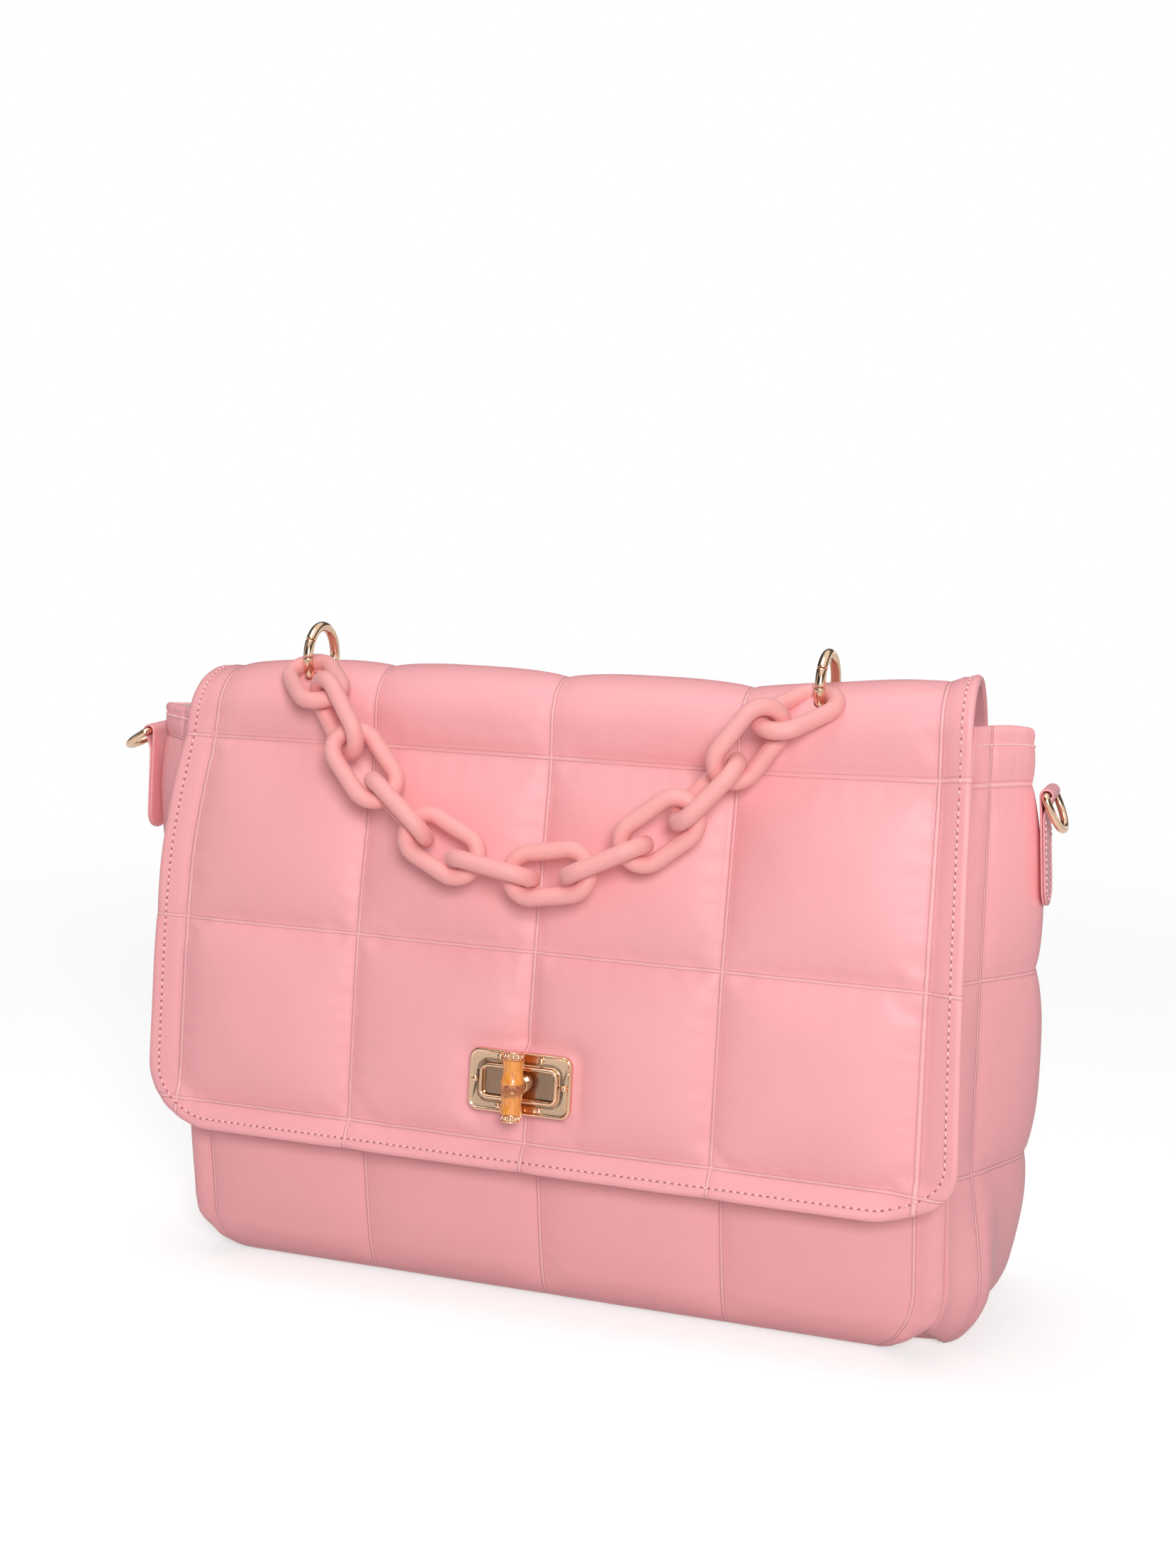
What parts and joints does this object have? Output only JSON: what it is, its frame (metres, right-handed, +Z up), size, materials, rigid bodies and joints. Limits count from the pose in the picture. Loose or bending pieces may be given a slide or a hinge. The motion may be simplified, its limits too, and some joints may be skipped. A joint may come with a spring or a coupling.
{
  "type": "chain shoulder bag",
  "caption": "Padded shoulder bag with folded side gussets, a quilted flap closed by a turn lock with a bamboo knob, and a short carrying chain of heavy links.",
  "frame": {"origin": "centre of the base, on the surface the bag stands on", "axes": "+X along the width of the bag, +Z up, the flap's face looks towards -Y"},
  "size_m": [0.3577, 0.1321, 0.2423],
  "materials": {
    "pink_leather": "soft smooth faux leather, padded and stitched",
    "gusset_leather": "soft smooth faux leather in a slightly deeper shade",
    "lining_fabric": "plain woven lining",
    "board": "stiffening board",
    "link_resin": "matte moulded resin links",
    "gold_metal": "pale rose gold plated metal, polished",
    "bamboo": "lacquered bamboo"
  },
  "bodies": {
    "body": {"front_panel": "pink_leather", "back_panel": "pink_leather", "base_panel": "pink_leather", "gusset_left": "gusset_leather", "gusset_right": "gusset_leather", "base_board": "board", "lining": "lining_fabric", "tab_left": "pink_leather", "tab_right": "pink_leather", "lock_base": "gold_metal", "lock_washer": "gold_metal"},
    "flap": {"flap_outer": "pink_leather", "flap_lining": "lining_fabric", "lock_plate": "gold_metal", "lock_plate_back": "gold_metal", "lock_studs": "gold_metal"},
    "knob": {"knob_post": "gold_metal", "bamboo_grip": "bamboo", "knob_caps": "gold_metal"},
    "ring_left": {"top_ring_left": "gold_metal", "gate_left": "gold_metal"},
    "ring_right": {"top_ring_right": "gold_metal", "gate_right": "gold_metal"},
    "side_ring_left": {"side_ring_left": "gold_metal"},
    "side_ring_right": {"side_ring_right": "gold_metal"},
    "link_1": {"link_1": "link_resin"},
    "link_2": {"link_2": "link_resin"},
    "link_3": {"link_3": "link_resin"},
    "link_4": {"link_4": "link_resin"},
    "link_5": {"link_5": "link_resin"},
    "link_6": {"link_6": "link_resin"},
    "link_7": {"link_7": "link_resin"},
    "link_8": {"link_8": "link_resin"},
    "link_9": {"link_9": "link_resin"},
    "link_10": {"link_10": "link_resin"},
    "link_11": {"link_11": "link_resin"},
    "link_12": {"link_12": "link_resin"}
  },
  "joints": [
    {"name": "flap_open", "type": "hinge", "parent": "body", "child": "flap", "pos_m": [0, -0.0062, 0.2052], "axis": [-1, 0, 0], "range_deg": [0, 150]},
    {"name": "knob_turn", "type": "hinge", "parent": "body", "child": "knob", "pos_m": [0, -0.06837, 0.09], "axis": [0, -0.9929, 0.1186], "range_deg": [0, 90]},
    {"name": "handle_swing", "type": "hinge", "parent": "flap", "child": "ring_left", "pos_m": [-0.095, -0.031, 0.2298], "axis": [-1, 0, 0], "range_deg": [0, 100]},
    {"name": "right_ring_turn", "type": "hinge", "parent": "flap", "child": "ring_right", "pos_m": [0.095, -0.031, 0.2298], "axis": [-1, 0, 0], "range_deg": [0, 100]},
    {"name": "left_link_slide", "type": "hinge", "parent": "ring_left", "child": "link_1", "pos_m": [-0.095, -0.031, 0.2298], "axis": [-1, 0, 0], "range_deg": [0, 66]},
    {"name": "right_link_slide", "type": "hinge", "parent": "ring_right", "child": "link_12", "pos_m": [0.095, -0.031, 0.2298], "axis": [-1, 0, 0], "range_deg": [0, 66]},
    {"name": "link_2_bend", "type": "hinge", "parent": "link_1", "child": "link_2", "pos_m": [-0.08154, -0.05551, 0.22059], "axis": [0, 0.9659, -0.2588], "range_deg": [-3, 0]},
    {"name": "link_11_bend", "type": "hinge", "parent": "link_12", "child": "link_11", "pos_m": [0.08154, -0.05551, 0.22059], "axis": [0, -0.9659, 0.2588], "range_deg": [-3, 0]},
    {"name": "link_3_bend", "type": "hinge", "parent": "link_2", "child": "link_3", "pos_m": [-0.06971, -0.06, 0.20383], "axis": [0, 0.9659, -0.2588], "range_deg": [0, 1.5]},
    {"name": "link_10_bend", "type": "hinge", "parent": "link_11", "child": "link_10", "pos_m": [0.06971, -0.06, 0.20383], "axis": [0, -0.9659, 0.2588], "range_deg": [0, 1.5]},
    {"name": "handle_pull", "type": "hinge", "parent": "link_3", "child": "link_4", "pos_m": [-0.05587, -0.06408, 0.18858], "axis": [0, 0.9659, -0.2588], "range_deg": [0, 3.75]},
    {"name": "link_9_bend", "type": "hinge", "parent": "link_10", "child": "link_9", "pos_m": [0.05587, -0.06408, 0.18858], "axis": [0, -0.9659, 0.2588], "range_deg": [0, 3.75]},
    {"name": "link_5_bend", "type": "hinge", "parent": "link_4", "child": "link_5", "pos_m": [-0.03959, -0.06752, 0.17577], "axis": [0, 0.9659, -0.2588], "range_deg": [0, 2.7]},
    {"name": "link_8_bend", "type": "hinge", "parent": "link_9", "child": "link_8", "pos_m": [0.03959, -0.06752, 0.17577], "axis": [0, -0.9659, 0.2588], "range_deg": [0, 2.7]},
    {"name": "link_6_bend", "type": "hinge", "parent": "link_5", "child": "link_6", "pos_m": [-0.02073, -0.0699, 0.16686], "axis": [0, 0.9659, -0.2588], "range_deg": [-4.95, 0]},
    {"name": "link_7_bend", "type": "hinge", "parent": "link_8", "child": "link_7", "pos_m": [0.02073, -0.0699, 0.16686], "axis": [0, -0.9659, 0.2588], "range_deg": [-4.95, 0]},
    {"name": "side_ring_left_swing", "type": "hinge", "parent": "body", "child": "side_ring_left", "pos_m": [-0.16949, -0.02201, 0.197], "axis": [0, 1, 0], "range_deg": [-33, 110]},
    {"name": "side_ring_right_swing", "type": "hinge", "parent": "body", "child": "side_ring_right", "pos_m": [0.16949, -0.02201, 0.197], "axis": [0, -1, 0], "range_deg": [0, 144]}
  ],
  "couplings": [
    {"joint": "right_ring_turn", "follows": "handle_swing", "ratio": 1},
    {"joint": "left_link_slide", "follows": "handle_swing", "ratio": 0.66},
    {"joint": "right_link_slide", "follows": "handle_swing", "ratio": 0.66},
    {"joint": "link_2_bend", "follows": "handle_pull", "ratio": -0.8},
    {"joint": "link_11_bend", "follows": "handle_pull", "ratio": -0.8},
    {"joint": "link_3_bend", "follows": "handle_pull", "ratio": 0.4},
    {"joint": "link_10_bend", "follows": "handle_pull", "ratio": 0.4},
    {"joint": "link_9_bend", "follows": "handle_pull", "ratio": 1},
    {"joint": "link_5_bend", "follows": "handle_pull", "ratio": 0.72},
    {"joint": "link_8_bend", "follows": "handle_pull", "ratio": 0.72},
    {"joint": "link_6_bend", "follows": "handle_pull", "ratio": -1.32},
    {"joint": "link_7_bend", "follows": "handle_pull", "ratio": -1.32}
  ]
}
